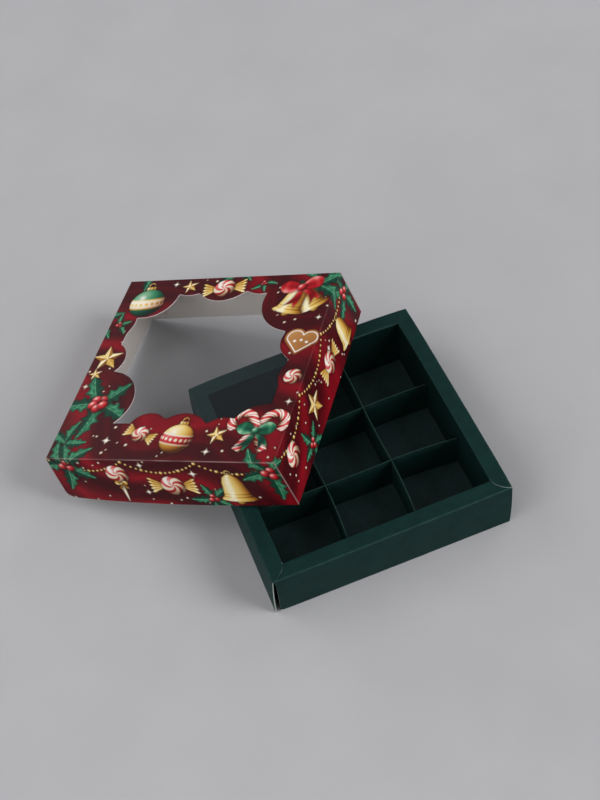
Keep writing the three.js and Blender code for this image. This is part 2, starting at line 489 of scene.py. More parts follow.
def side_profile(side, top, lift):
    """The section of a tray side: up the outer wall, over the rim and down the inner wall.
    Each point has its distance out, height, panel and wear; lift is off the outer skin."""
    section = []
    outer = TRAY_HALF - CREASE
    inner = TRAY_INNER + CREASE
    fold = top - CREASE

    def bend(out, height, first, panel_name, wear):
        for step in range(1, CREASE_STEPS):
            angle = math.radians(first + 90 * step / CREASE_STEPS)
            radius = CREASE + lift
            spot = (out + radius * math.cos(angle), height + radius * math.sin(angle))
            section.append((*spot, panel_name, wear))

    bend(outer, CREASE, -90, "wall", FOOT_WEAR)
    for share in np.linspace(0, 1, WALL_ROWS) ** WALL_CROWDING:
        section.append((TRAY_HALF + lift, CREASE + (fold - CREASE) * share, "wall", 0.0))
    bend(outer, fold, 0, "crease", CREASE_WEAR[side])
    for out in np.linspace(outer, inner, RIM_ROWS):
        section.append((out, top + lift, "rim", 0.0))
    bend(inner, fold, 90, "lip", LIP_WEAR[side])
    for height in np.linspace(fold, FLOOR_TOP + SKIN_GAP, INNER_ROWS):
        section.append((TRAY_INNER - lift, height, "inside", 0.0))
    return section


def lean_out(points):
    """Moves points of the tray's sides outward, the more the higher they are and the nearer
    the middle of a side."""
    moved = points.copy()
    level = np.clip(points[..., 2] / TRAY_TOP, 0, 1)
    for axis, less, more in ((0, "left", "right"), (1, "front", "back")):
        here = points[..., axis]
        share = np.clip(points[..., 1 - axis] / TRAY_HALF, -1, 1)
        near = np.clip((np.abs(here) - LEAN_START) / (TRAY_INNER - LEAN_START), 0, 1)
        lean = np.where(here < 0, -SIDE_LEAN[less], SIDE_LEAN[more])
        moved[..., axis] += lean * level * near * (1 - END_STIFFNESS * share**4)
    return moved


def side_ends(side, panel_name, out, height, level, tuck):
    """How far a row of a tray side runs to the left and to the right of its middle."""
    if panel_name == "wall":
        radius = CORNER_ROUND[side]
        above = radius - min(max(height, 0.0), radius)
        foot_opens, top_opens = SEAM_OPENS[side]
        opens = foot_opens + (top_opens - foot_opens) * level
        start = TRAY_HALF - BOARD - SEAM_GAP - opens * (1 - level**6)
        start -= radius - math.sqrt(radius**2 - above**2)
        return start, TRAY_HALF - CORNER_TUCK[side] * tuck
    if panel_name in ("lip", "inside"):
        return TRAY_INNER - SKIN_GAP, TRAY_INNER - SKIN_GAP
    if side not in RIM_OVER:
        return TRAY_HALF - BOARD - SEAM_GAP, TRAY_HALF - BOARD - SEAM_GAP
    inset = min(max(TRAY_HALF - out, 0.0), RIM_WIDTH)
    rounding = 1 - (inset / RIM_WIDTH) ** RIM_END_CURVE
    rim_end = RIM_WIDTH * rounding ** (1 / RIM_END_CURVE)
    at_front, at_back = TRAY_INNER + rim_end, TRAY_INNER + RIM_BACK_END * rim_end
    return (at_front, at_back) if side == "right" else (at_back, at_front)


def tray_side_points(side, lift):
    """One skin of a tray side: its grid of points, how worn each is, and how much painted shade
    each gets on the inner wall.
    """
    over = side in RIM_OVER
    top = TRAY_TOP if over else TRAY_TOP - BOARD - SKIN_GAP
    share = np.linspace(-1, 1, SIDE_COLUMNS)
    for column in (1, 2):
        share[column] = -1 + column * END_WEAR
        share[-1 - column] = 1 - column * END_WEAR
    left_foot, right_foot = SIDE_FOOT[side]
    foot = left_foot + (right_foot - left_foot) * (share + 1) / 2
    rows, wears, inner_wall_shades = [], [], []
    for out, height, panel_name, wear in side_profile(side, top, lift):
        level = min(max(height / top, 0.0), 1.0)
        tuck = max(0.0, 1 - level / TUCK_SHARE) ** 2
        start, end = side_ends(side, panel_name, out, height, level, tuck)
        place = np.where(share < 0, share * start, share * end)
        reach = np.full(SIDE_COLUMNS, out)
        rise = np.full(SIDE_COLUMNS, -RIM_WAVE)
        worn = np.full(SIDE_COLUMNS, wear)
        if panel_name == "wall":
            hump = SIDE_BULGE[side] * math.sin(math.pi * level)
            reach += hump * (1 - END_STIFFNESS * share**2) + foot * (1 - level)
            if lift:
                reach[-1] -= END_FRAY[side] * (1 - level)
            pull = CORNER_TUCK[next_side(side, -1)] * tuck
            reach -= pull * np.exp(-(place + TRAY_HALF) / TUCK_LENGTH)
        if panel_name in ("crease", "rim", "lip"):
            rise += RIM_WAVE * np.sin(RIM_WAVES * share + len(side))
            rise += 0.0 if over else BOARD * (1 - share**4)
        if panel_name in ("crease", "rim") and over:
            worn[:2], worn[-2:] = END_WORN[side]
        rows.append(on_side(side, reach, place, height + rise))
        wears.append(worn)
        # Painted shade on the inner wall rows
        inner_wall_shades.append(np.full(SIDE_COLUMNS, INSIDE_SHADE if panel_name == "inside" else 0.0))
    return lean_out(np.array(rows)), np.array(wears), np.array(inner_wall_shades)


def make_tray_side(side):
    front, wear, inside = tray_side_points(side, 0.0)
    back, _, _ = tray_side_points(side, -BOARD)
    front[..., 2] = np.maximum(front[..., 2], SKIN_GAP)
    mesh = panel("tray_" + side, front, back, (GREEN, GREEN, GREEN_CUT))
    set_values(mesh, "wear", np.concatenate([wear.ravel(), np.zeros(wear.size)]))
    # The inside values paint shade on the inner walls
    set_values(mesh, "inside", np.concatenate([inside.ravel(), np.zeros(inside.size)]))
    # The outer part of the left rim's front cut end turns to a dark board green, so it shows dim
    if side == "left":
        green_cut_share = np.zeros(front.shape[:2])
        on_rim = front[:, -1, 2] > TRAY_TOP - CREASE
        outer = (-front[:, -1, 0] - TRAY_INNER) / RIM_WIDTH
        green_cut_share[:, -1] = np.where(on_rim, np.clip(3 * outer - 0.6, 0, 0.9), 0)
        set_values(mesh, "green_cut_share", np.tile(green_cut_share.ravel(), 2))
    nodes = ["tray_" + part + "_" + side for part in ("wall", "rim", "inner_wall")]
    add_piece("tray_" + side + "_side", mesh, "tray", nodes)


def flat_grid(left, right, front, back, cells):
    """Places on a flat sheet, row by row, and the faces between them."""
    spots = np.linspace(left, right, cells + 1), np.linspace(front, back, cells + 1)
    across, deep = np.meshgrid(*spots)
    return across.ravel(), deep.ravel(), grid_faces(cells + 1, cells + 1)


def make_tray_floor():
    """The floor panel, a little wavy as board is, between the four walls."""
    reach = TRAY_HALF - CREASE - SKIN_GAP
    across, deep, faces = flat_grid(-reach, reach, -reach, reach, FLOOR_CELLS)
    wave = FLOOR_WAVE * np.sin(across / 17) * np.cos(deep / 23)
    upper = np.stack([across, deep, FLOOR_TOP - SKIN_GAP + wave], axis=-1)
    lower = np.stack([across, deep, np.full_like(across, SKIN_GAP)], axis=-1)
    # The upper face takes the lighter copy with painted sheen and light
    mesh = thick_sheet("tray_floor", upper, lower, faces, (CELL_FLOOR_SHEENED, GREEN, GREEN_CUT))
    set_values(mesh, "wear", np.zeros(len(mesh.vertices)))
    add_piece("tray_floor_panel", mesh, "tray", ["tray_floor"])


# Dividers

SLOT_WIDTH = BOARD + 0.3
SLOT_PLAY = 0.15
STRIP_STEP = 4.0
STRIP_BOW = 0.3
# How far the first and the last end of each strip is bent aside
STRIP_ENDS = dict(
    lower_divider_1=(0.0, -2.5), lower_divider_2=(0.0, -0.4),
    upper_divider_1=(-2.2, 0.0), upper_divider_2=(-2.2, 0.6),
)
STRIP_END_CURVE = 1.5
TOP_WORN = 0.1


def strip_places(first, last, crossings):
    """Places along a strip, about a step apart, among them both edges of each slot."""
    marks = {first, last}
    for crossing in crossings:
        marks.update((crossing - SLOT_WIDTH / 2, crossing + SLOT_WIDTH / 2))
    marks = sorted(marks)
    places = []
    for one, two in zip(marks, marks[1:]):
        steps = max(1, round((two - one) / STRIP_STEP))
        places += [one + (two - one) * step / steps for step in range(steps)]
    return np.array(places + [last])


def make_divider(node, body, axis, crossings, slots_open_up):
    """A strip of board on edge with a slot to half its height at each crossing strip."""
    low, high = corners(node)
    first, last = low[axis], high[axis]
    middle = (low.z + high.z) / 2 + (-SLOT_PLAY if slots_open_up else SLOT_PLAY)
    heights = np.array((low.z, (low.z + middle) / 2, middle, (middle + high.z) / 2, high.z))
    places = strip_places(first, last, crossings)
    bow = STRIP_BOW * np.sin(3 * math.pi * (places - first) / (last - first))
    nearest, farthest = min(crossings), max(crossings)
    first_free = np.clip((nearest - places) / (nearest - first), 0, 1)
    last_free = np.clip((places - farthest) / (last - farthest), 0, 1)
    for bend, free in zip(STRIP_ENDS[node], (first_free, last_free)):
        bow += bend * free**STRIP_END_CURVE
    skins = []
    for lift in (-BOARD / 2, BOARD / 2):
        points = np.zeros((len(heights), len(places), 3))
        points[..., axis] = places
        points[..., 1 - axis] = (low[1 - axis] + high[1 - axis]) / 2 + bow + lift
        points[..., 2] = heights[:, None]
        skins.append(points.reshape(-1, 3))
    faces = []
    for face in grid_faces(len(heights), len(places)):
        centre = skins[0][face].mean(axis=0)
        in_slot = any(abs(centre[axis] - crossing) < SLOT_WIDTH / 2 for crossing in crossings)
        open_half = centre[2] > middle if slots_open_up else centre[2] < middle
        if not (in_slot and open_half):
            faces.append(face)
    mesh = thick_sheet(node, *skins, faces, (DIVIDER, DIVIDER, DIVIDER_CUT))
    set_values(mesh, "wear", [one.co.z / MM > high.z - TOP_WORN for one in mesh.vertices])
    add_piece(node + "_strip", mesh, body, [node])


def make_dividers():
    lower = ("lower_divider_1", "lower_divider_2")
    upper = ("upper_divider_1", "upper_divider_2")
    lower_places = [sum(corner.y for corner in corners(node)) / 2 for node in lower]
    upper_places = [sum(corner.x for corner in corners(node)) / 2 for node in upper]
    for node in lower:
        make_divider(node, "lower_dividers", 0, upper_places, True)
    for node in upper:
        make_divider(node, "upper_dividers", 1, lower_places, False)


# Lid: the folded sheet

TOP_COLUMNS = 1400
TOP_ROWS = 62
TOP_BACK_ROWS = 5
WALL_CELL = 0.42
WALL_BACK_ROWS = 8
FOLD_ROWS = 6
FOLD_RUN = LID_FOLD * math.pi / 2
WALL_RUN = FOLD_RUN + LID_HEIGHT - LID_FOLD     # down the sheet from the flat top
CORNER_NICK = 3.0
CORNER_NICK_HEIGHT = 4.0
FAR = 1e6


def window_reach(angle):
    """From the lid's middle to the window's edge in a direction: a rounded rectangle with lobes."""
    across = np.cos(angle)
    deep = np.sin(angle)
    side = np.where(across > 0, WINDOW_RIGHT, WINDOW_LEFT)
    end = np.where(deep > 0, WINDOW_BACK, WINDOW_FRONT)
    centre_x = side - np.where(across > 0, WINDOW_CORNER, -WINDOW_CORNER)
    centre_y = end - np.where(deep > 0, WINDOW_CORNER, -WINDOW_CORNER)
    with np.errstate(divide="ignore", invalid="ignore"):
        to_side = np.where(np.abs(across) < 1e-9, FAR, side / across)
        to_end = np.where(np.abs(deep) < 1e-9, FAR, end / deep)

    def along_and_half(x, y, radius):
        """How far along the direction a circle's middle lies, and half its cut there."""
        aside = x * deep - y * across
        return x * across + y * deep, np.sqrt(np.clip(radius**2 - aside**2, 0, None))

    along, half = along_and_half(centre_x, centre_y, WINDOW_CORNER)
    meets_side = (np.abs(to_side * deep) <= np.abs(centre_y)) & (to_side <= to_end)
    meets_end = (np.abs(to_end * across) <= np.abs(centre_x)) & (to_end <= to_side)
    reaches = [np.where(meets_side, to_side, np.where(meets_end, to_end, along + half))]
    for lobe in WINDOW_LOBES:
        along, half = along_and_half(*lobe)
        reaches.append(np.where((along > 0) & (half > 0), along - half, FAR))
    total = sum(np.exp(-reach / LOBE_BLEND) for reach in reaches)
    return -LOBE_BLEND * np.log(total)


def spread_at(side, share):
    """How far a lid wall leans out at its lower edge; share runs from -1 to 1 along the wall."""
    left, right, middle = WALL_SPREAD[side]
    return (left + right) / 2 + (right - left) / 2 * share + middle * (1 - share**2)


def wall_point(side, share, run, lift):
    """A point on a lid wall: share along it from -1 to 1, run down the sheet from the flat top,
    lift off its outer face. Returns the point and its place on the flat blank."""
    share, run = np.broadcast_arrays(share, run)
    full_turn = math.pi / 2 - np.arcsin(spread_at(side, share) / LID_HEIGHT)
    angle = np.minimum(run / LID_FOLD, full_turn)
    drop = np.maximum(run - LID_FOLD * full_turn, 0.0)
    radius = LID_FOLD + lift
    out = LID_HALF - LID_FOLD + radius * np.sin(angle) + drop * np.cos(full_turn)
    height = LID_HEIGHT - LID_FOLD + radius * np.cos(angle) - drop * np.sin(full_turn)
    tucked = 0.0 if side in ("front", "back") else BOARD + SKIN_GAP
    reach = LID_HALF - LID_FOLD + (LID_FOLD - tucked) * np.sin(angle)
    at_left, at_right = WALL_SPREAD[next_side(side, -1)][1], WALL_SPREAD[next_side(side, 1)][0]
    place = share * (reach + np.where(share < 0, at_left, at_right) * drop / LID_HEIGHT)
    if side == "front":
        nick = np.clip((run - WALL_RUN) / CORNER_NICK_HEIGHT + 1, 0, 1) * CORNER_NICK
        place = place + np.where(share < -0.5, nick * (-share * 2 - 1) ** 4, 0)
    blank = on_side(side, LID_HALF - LID_FOLD + run, share * LID_HALF)
    return on_side(side, out, place, height), blank


def square_loop(half, count):
    """Points round a square, corners among them, from the front left corner on."""
    each = count // 4
    steps = np.linspace(-half, half, each, endpoint=False)
    fixed = np.full(each, half)
    x = np.concatenate([steps, fixed, -steps, -fixed])
    y = np.concatenate([-fixed, steps, fixed, -steps])
    return np.stack([x, y], axis=-1)


def top_points(rows, lift):
    """Rings of points on the lid's top, from its fold line in to the window's edge."""
    outer = square_loop(LID_HALF - LID_FOLD, TOP_COLUMNS)
    angle = np.arctan2(outer[:, 1], outer[:, 0])
    edge = window_reach(angle)[:, None] * np.stack([np.cos(angle), np.sin(angle)], axis=-1)
    share = np.linspace(0, 1, rows)[:, None, None]
    flat = outer[None] + (edge - outer)[None] * share
    height = np.full(flat.shape[:2] + (1,), LID_HEIGHT + lift)
    return np.concatenate([flat, height], axis=-1), flat


def lid_wall_points(side, rows_down, lift):
    """The grid of points of one skin of a lid wall, from the fold line down."""
    share = np.linspace(-1, 1, round(LID_SIDE / WALL_CELL))[None, :]
    bend = np.linspace(0, FOLD_RUN, FOLD_ROWS)
    down = np.linspace(FOLD_RUN, WALL_RUN, rows_down)[1:]
    return wall_point(side, share, np.concatenate([bend, down])[:, None], lift)


# Print on the lid: a generic holiday design of holly, sweets, baubles, bells and stars

EDGE_SOFT = 0.5
HALO_WIDTH = 1.7
HALO_STRENGTH = 0.62
SHADOW_INK = (38, 4, 9)
WHITE_INK = (255, 250, 242)
RUBBED_INK = (214, 176, 172)
# Inks from shade to light
VELVET = ((34, 3, 8), (70, 6, 14), (104, 9, 20), (136, 12, 26), (166, 20, 36))
RED_INK = ((70, 4, 10), (128, 12, 22), (178, 24, 34), (214, 66, 70), (244, 160, 154))
CREAM_INK = ((136, 100, 78), (196, 164, 132), (230, 210, 182), (248, 238, 220), (255, 252, 244))
GOLD_INK = ((76, 38, 10), (150, 94, 30), (206, 154, 62), (240, 208, 120), (255, 244, 204))
HOLLY_INK = ((6, 30, 24), (10, 58, 44), (22, 92, 66), (66, 142, 104), (158, 206, 170))
BISCUIT_INK = ((70, 32, 14), (116, 62, 28), (158, 98, 50), (190, 134, 78), (222, 178, 124))
LIGHT_X, LIGHT_Y, LIGHT_Z = -0.45, 0.55, 0.70
SWAG_HOOKS = (-72, -24, 24, 72)
SWAG_TOP = 2.0
SWAG_DEPTH = 8.0
SWAG_BEADS = 16
LARGE_BEAD = 1.25        # every fourth one
SMALL_BEAD = 0.85
EDGE_BAND = 3.0
DOT_SEED = 7
DOT_COUNT = 260
DOT_SIZES = (0.35, 0.95)
# Places and sizes of the sparkles on the flat blank
SPARKLES = (
    (-38, -60, 3.2), (-12, -78, 2.6), (20, -84, 3.0), (30, -67, 2.8), (-38, 69, 2.6), (70, 36, 2.2),
    (70, -30, 2.6), (-70, -18, 2.4), (-14, -100, 2.4), (88, 24, 2.6), (-92, 40, 2.6),
)


class Ink:
    """The colours of the lid's printed side, laid coat by coat on spots of its flat blank."""

    def __init__(self, spots):
        self.spots = spots
        self.colour = np.zeros((len(spots), 3))

    def stamp(self, at, angle, reach, form, *sizes, halo=HALO_STRENGTH):
        """Lays a form about a place, turned anticlockwise. The form gives, for x and y from that
        place, how deep inside its outline each spot lies and the spot's colour."""
        offset = self.spots - np.asarray(at, float)
        near = np.flatnonzero(np.abs(offset).max(axis=1) < reach + HALO_WIDTH)
        across, deep = offset[near].T
        turn_x, turn_y = math.cos(angle), math.sin(angle)
        x, y = across * turn_x + deep * turn_y, deep * turn_x - across * turn_y
        depth, colour = form(x, y, *sizes)
        self.lay(near, linear(SHADOW_INK), halo * np.clip(1 + depth / HALO_WIDTH, 0, 1))
        self.lay(near, colour, np.clip(0.5 + depth / EDGE_SOFT, 0, 1))

    def lay(self, which, colour, cover):
        self.colour[which] += cover[:, None] * (colour - self.colour[which])


def shade(ramp, light):
    """The ramp's colour for each light from 0 to 1; beyond these it stays the same."""
    tones = linear(ramp)
    steps = np.linspace(0, 1, len(tones))
    return np.stack([np.interp(light, steps, tones[:, part]) for part in range(3)], axis=-1)


def blend(first, second, share):
    return first + share[:, None] * (second - first)


def band(value, low, high, soft):
    """1 between low and high, 0 outside, with soft edges."""
    return np.clip(0.5 + np.minimum(value - low, high - value) / soft, 0, 1)


def peak(value, width):
    """A soft peak about 0."""
    return np.exp(-(value / width) ** 2)


def round_light(x, y):
    """Light on a ball, for places from -1 to 1."""
    z = np.sqrt(np.clip(1 - x**2 - y**2, 0, 1))
    return np.clip(0.12 + 0.82 * (LIGHT_X * x + LIGHT_Y * y + LIGHT_Z * z), 0, 1)


# Forms: x and y from the form's place, then its sizes and inks

def ball(x, y, radius, ramp, pattern=None, *inks):
    across, up = x / radius, y / radius
    light = round_light(across, up)
    colour = shade(ramp, light)
    if pattern is not None:
        colour = pattern(across, up, light, colour, *inks)
    gleam = np.clip(1 - np.hypot(across + 0.36, up - 0.42) / 0.26, 0, 1)
    return radius - np.hypot(x, y), blend(colour, linear(WHITE_INK), 0.9 * gleam)


def swirl(across, up, light, colour):
    """Curved red and cream arms, as on a peppermint."""
    turn = np.arctan2(up, across) + 1.5 * np.hypot(across, up)
    phase = (turn * 5 / (2 * math.pi)) % 1
    return blend(shade(CREAM_INK, light), colour, band(phase, 0.0, 0.5, 0.12))


def banded(across, up, light, colour, band_ramp, line_ramp):
    """A broad band round the middle with a row of dots and two thin lines."""
    curve = up + 0.16 * np.sqrt(np.clip(1 - across**2, 0, 1))
    line = shade(line_ramp, light)
    colour = blend(colour, shade(band_ramp, light), band(curve, -0.24, 0.34, 0.06))
    for level in (-0.27, 0.37):
        colour = blend(colour, line, band(curve, level - 0.045, level + 0.045, 0.05))
    beads = np.arcsin(np.clip(across, -1, 1)) / 0.34
    dot = np.hypot((beads + 0.5) % 1 - 0.5, (curve - 0.05) / 0.34)
    return blend(colour, line, np.clip((0.36 - dot) / 0.1, 0, 1))


def holly_leaf(x, y, length, width, bend):
    """A leaf with four points on each side, veins and a gleam."""
    run = np.clip(x / length, 0, 1)
    aside = y - bend * length * run * (1 - run)
    tooth = (4 * run + 0.15) % 1
    scallop = 1 - 0.46 * (1 - (2 * tooth - 1) ** 2)
    half = 0.5 * width * np.sin(math.pi * run**0.85) ** 0.7 * scallop + 0.12
    share = aside / np.maximum(half, 0.3)
    vein = np.clip(np.cos(2 * math.pi * (5.5 * run - 0.8 * np.abs(share))), 0, 1) ** 5
    light = 0.40 + 0.13 * np.tanh(3 * share) + 0.12 * vein - 0.16 * np.abs(share) ** 3
    light += 0.26 * peak(share - 0.45, 0.25) * np.sin(math.pi * run) ** 2
    light += 0.42 * peak(aside, 0.35)
    depth = np.minimum(half - np.abs(aside), np.minimum(x, length - x) + 0.3)
    return depth, shade(HOLLY_INK, light)


def cane(x, y, facing, height, hook, thick):
    """A striped stick with a hooked top; it stands on its lower end."""
    drop = 3.0
    pitch = 6.4
    x = facing * x
    ring = np.hypot(x - hook, y - height)
    turned = math.pi - np.arctan2(y - height, x - hook)
    over = y > height
    tail = (~over) & (x > hook)
    aside = np.where(over, ring - hook, np.where(tail, x - 2 * hook, -x))
    end_run = height + math.pi * hook
    run = np.where(over, height + hook * turned, np.where(tail, end_run + height - y, y))
    depth = thick - np.abs(aside)
    depth = np.minimum(depth, np.where(tail, drop - (height - y), np.where(over, depth, y)))
    share = np.clip(aside / thick, -1, 1)
    light = 0.95 - 0.75 * (share - 0.3) ** 2
    phase = ((run + 1.1 * aside) / pitch) % 1
    stripe = np.clip(band(phase, 0.02, 0.46, 0.08) + band(phase, 0.66, 0.78, 0.08), 0, 1)
    return depth, blend(shade(CREAM_INK, light), shade(RED_INK, 0.85 * light), stripe)


def bell(x, y, height):
    """A hand bell's outline from its mouth up, with a raised band above the mouth."""
    levels = (0, 0.06, 0.2, 0.45, 0.7, 0.88, 0.97, 1)
    widths = (0.54, 0.52, 0.42, 0.36, 0.32, 0.24, 0.12, 0.02)
    dip = 0.12 * height * np.sqrt(np.clip(1 - (x / (widths[0] * height)) ** 2, 0, 1))
    level = np.clip((y + dip * np.clip(1 - y / height, 0, 1)) / height, 0, 1)
    half = height * np.interp(level, levels, widths)
    share = np.clip(x / np.maximum(half, 0.2), -1, 1)
    light = round_light(share * 0.95, np.full_like(share, 0.15)) + 0.5 * peak(share + 0.42, 0.16)
    light -= 0.3 * (band(level, 0.14, 0.18, 0.03) + band(level, 0.25, 0.28, 0.03))
    depth = np.minimum(half - np.abs(x), np.minimum(y + dip, height - y))
    return depth, shade(GOLD_INK, light)


def star(x, y, radius):
    """A folded star: each arm has a ridge, one face in light and one in shade."""
    sector = math.pi / 5
    waist = 0.44 * radius
    notch_x = waist * math.cos(sector)
    notch_y = waist * math.sin(sector)
    turn = np.arctan2(x, y)
    arm = np.floor((turn + sector) / (2 * sector)) * 2 * sector
    off = turn - arm
    far = np.hypot(x, y)
    along, aside = far * np.cos(off), far * np.abs(np.sin(off))
    depth = (notch_x - radius) * aside - notch_y * (along - radius)
    facing = arm + np.sign(off) * math.pi / 2
    light = 0.56 + 0.42 * (LIGHT_X * np.sin(facing) + LIGHT_Y * np.cos(facing)) / 0.71
    light += 0.25 * peak(aside, 0.28)
    return depth / math.hypot(notch_x - radius, notch_y), shade(GOLD_INK, light)


def sparkle(x, y, radius):
    """Four thin rays."""
    across, up = np.abs(x) / radius, np.abs(y) / radius
    depth = (1 - np.sqrt(across) - np.sqrt(up)) * radius * 0.4
    return depth, shade(CREAM_INK, 1 - 0.6 * np.hypot(across, up))


def wrapper(x, y, radius):
    """The two pleated, twisted ends of a wrapped sweet."""
    out = np.abs(x) - 0.8 * radius
    half = 0.2 * radius + 0.6 * np.clip(out, 0, None)
    share = y / half
    pleat = np.cos(5 * math.pi * share)
    end = radius * (1.15 + 0.1 * pleat)
    depth = np.minimum(half - np.abs(y), np.minimum(out + 0.3 * radius, end - out))
    light = 0.58 + 0.3 * pleat * np.clip(out / radius, 0, 1) - 0.15 * share
    light += 0.3 * band(out, end - 1.1, end - 0.5, 0.3)
    return depth, shade(GOLD_INK, light)


def heart(x, y, size):
    """A baked heart with a line of icing inside its edge and three icing dots."""
    y = y + 0.22 * size
    diamond = (size - np.abs(x) - np.abs(y)) / math.sqrt(2)
    rounds = size / math.sqrt(2) - np.hypot(np.abs(x) - size / 2, y - size / 2)
    depth = np.maximum(diamond, rounds)
    light = 0.42 + 0.22 * np.clip(depth / 2, 0, 1) + 0.1 * (y - x) / size
    icing = band(depth, 1.3, 2.0, 0.4)
    for place in (-0.42, 0.0, 0.42):
        dot = 0.95 - np.hypot(x - place * size, y - 0.28 * size + 0.3 * abs(place) * size)
        icing = np.maximum(icing, np.clip(0.5 + dot / 0.4, 0, 1))
    return depth, blend(shade(BISCUIT_INK, light), linear(WHITE_INK), icing * 0.95)


def ribbon_loop(x, y, length, width, ramp):
    run = np.clip(x / length, 0, 1)
    half = 0.5 * width * np.sqrt(np.clip(np.sin(math.pi * run**1.35), 0, 1)) + 0.1
    share = np.clip(y / half, -1, 1)
    fold = np.cos(4.5 * share) * (1 - run)
    light = 0.5 + 0.28 * share - 0.25 * fold + 0.2 * peak(run - 0.72, 0.12)
    depth = np.minimum(half - np.abs(y), np.minimum(x, length - x) + 0.2)
    return depth, shade(ramp, light)


def ribbon_tail(x, y, length, width, ramp):
    run = np.clip(x / length, 0, 1)
    aside = y - 0.14 * length * np.sin(2.6 * run)
    half = width * (0.25 + 0.3 * run)
    fork = 0.5 * width * (1 - np.abs(aside) / half)
    light = 0.5 + 0.3 * np.cos(5 * run + aside / half)
    depth = np.minimum(half - np.abs(aside), np.minimum(x, length - fork - x))
    return depth, shade(ramp, light)


def stroke(x, y, path, width, ramp):
    """A drawn line along a list of points, thin at both ends."""
    path = np.asarray(path, float)
    spots = np.stack([x, y], axis=-1)
    best = np.full(len(x), FAR)
    half = np.zeros(len(x))
    count = len(path) - 1
    for step in range(count):
        start, way = path[step], path[step + 1] - path[step]
        share = np.clip(((spots - start) @ way) / (way @ way), 0, 1)
        far = np.hypot(*(spots - start - share[:, None] * way).T)
        taper = width * np.sin(math.pi * np.clip((step + share) / count, 0.04, 0.96)) ** 0.6
        closer = far - taper < best - half
        best = np.where(closer, far, best)
        half = np.where(closer, taper, half)
    return half - best, shade(ramp, 0.85 - 0.5 * best / np.maximum(half, 0.05))


def bauble_cap(x, y, half, height):
    """The ribbed metal cap of a bauble."""
    light = 0.6 + 0.21 * np.cos(9 * x / half) - 0.3 * x / half
    return np.minimum(half - np.abs(x), height - np.abs(y)), shade(GOLD_INK, light)


# Motifs: one form or a group of them

def up_from(angle):
    """The upward direction of a motif that is turned by an angle."""
    return np.array([-math.sin(angle), math.cos(angle)])


def ring_path(radius):
    turn = np.linspace(0, 6.2, 15)
    return radius * np.stack([np.cos(turn), np.sin(turn)], axis=-1)


def draw_sprig(ink, at, angle, size, leaves=3, berries=3):
    """Holly leaves fanned about a stalk, with berries where they meet."""
    for leaf in range(leaves):
        lean = (leaf - (leaves - 1) / 2) * (2 * math.pi / max(leaves, 5))
        length = size * (1.0 if leaf % 2 == 0 else 0.86)
        bend = 0.18 * (-1) ** leaf
        ink.stamp(at, angle + math.pi / 2 + lean, size, holly_leaf, length, 0.5 * size, bend)
    for berry in range(berries):
        turn = angle + 2 * math.pi * berry / berries + 0.5
        spot = at + 0.13 * size * np.array([math.cos(turn), math.sin(turn)])
        ink.stamp(spot, 0, 0.14 * size, ball, 0.125 * size, RED_INK)


def draw_mint(ink, at, angle, size):
    ink.stamp(at, angle, size, ball, size, RED_INK, swirl)


def draw_sweet(ink, at, angle, size):
    ink.stamp(at, angle, 2.2 * size, wrapper, size)
    draw_mint(ink, at, angle, size)


def draw_star(ink, at, angle, size):
    ink.stamp(at, angle, size, star, size)


def draw_heart(ink, at, angle, size):
    ink.stamp(at, angle, 1.4 * size, heart, size)


def draw_bauble(ink, at, angle, size, ramp, band_ramp, line_ramp):
    up = up_from(angle) * size
    ink.stamp(at + 1.32 * up, angle, 0.4 * size, stroke, ring_path(0.17 * size), 0.35, GOLD_INK)
    ink.stamp(at + up, angle, 0.4 * size, bauble_cap, 0.27 * size, 0.2 * size)
    ink.stamp(at, angle, size, ball, size, ramp, banded, band_ramp, line_ramp)


def draw_bow(ink, at, angle, size, ramp):
    for lean in (-0.55, 0.5):
        turn = angle - math.pi / 2 + lean
        ink.stamp(at, turn, 1.2 * size, ribbon_tail, 1.15 * size, 0.42 * size, ramp)
    for turn in (0.28, math.pi - 0.28):
        ink.stamp(at, angle + turn, size, ribbon_loop, size, 0.72 * size, ramp)
    ink.stamp(at, angle, 0.25 * size, ball, 0.2 * size, ramp)


def draw_bell(ink, at, angle, size):
    up = up_from(angle) * size
    ink.stamp(at + 1.06 * up, angle, 0.2 * size, stroke, ring_path(0.09 * size), 0.4, GOLD_INK)
    ink.stamp(at - 0.12 * up, angle, 0.2 * size, ball, 0.13 * size, GOLD_INK)
    ink.stamp(at, angle, 1.1 * size, bell, size)


def draw_bells(ink, at, angle, size):
    """Two bells that lean apart under a bow."""
    for lean in (0.42, -0.42):
        draw_bell(ink, at - size * up_from(angle + lean), angle + lean, size)
    draw_bow(ink, at, angle, 0.72 * size, RED_INK)


def draw_canes(ink, at, angle, size):
    """Two sticks that cross, with a bow where they meet."""
    for lean, facing in ((-0.475, 1), (0.475, -1)):
        turn = angle + lean
        foot = at - 0.52 * size * up_from(turn)
        ink.stamp(foot, turn, 1.3 * size, cane, facing, 0.78 * size, 0.19 * size, 0.085 * size)
    draw_bow(ink, at - 0.05 * size * up_from(0), angle, 0.36 * size, HOLLY_INK)


def draw_lollipop(ink, at, angle, size):
    """A swirled sweet on a stick, with a bow below it."""
    stick = [(0, -3.1 * size), (0, -1.5 * size), (0, 0)]
    ink.stamp(at, angle, 3.2 * size, stroke, stick, 0.15 * size, CREAM_INK)
    draw_mint(ink, at, angle, size)
    draw_bow(ink, at - 1.1 * size * up_from(angle), angle, 0.6 * size, GOLD_INK)


# The whole print, coat by coat

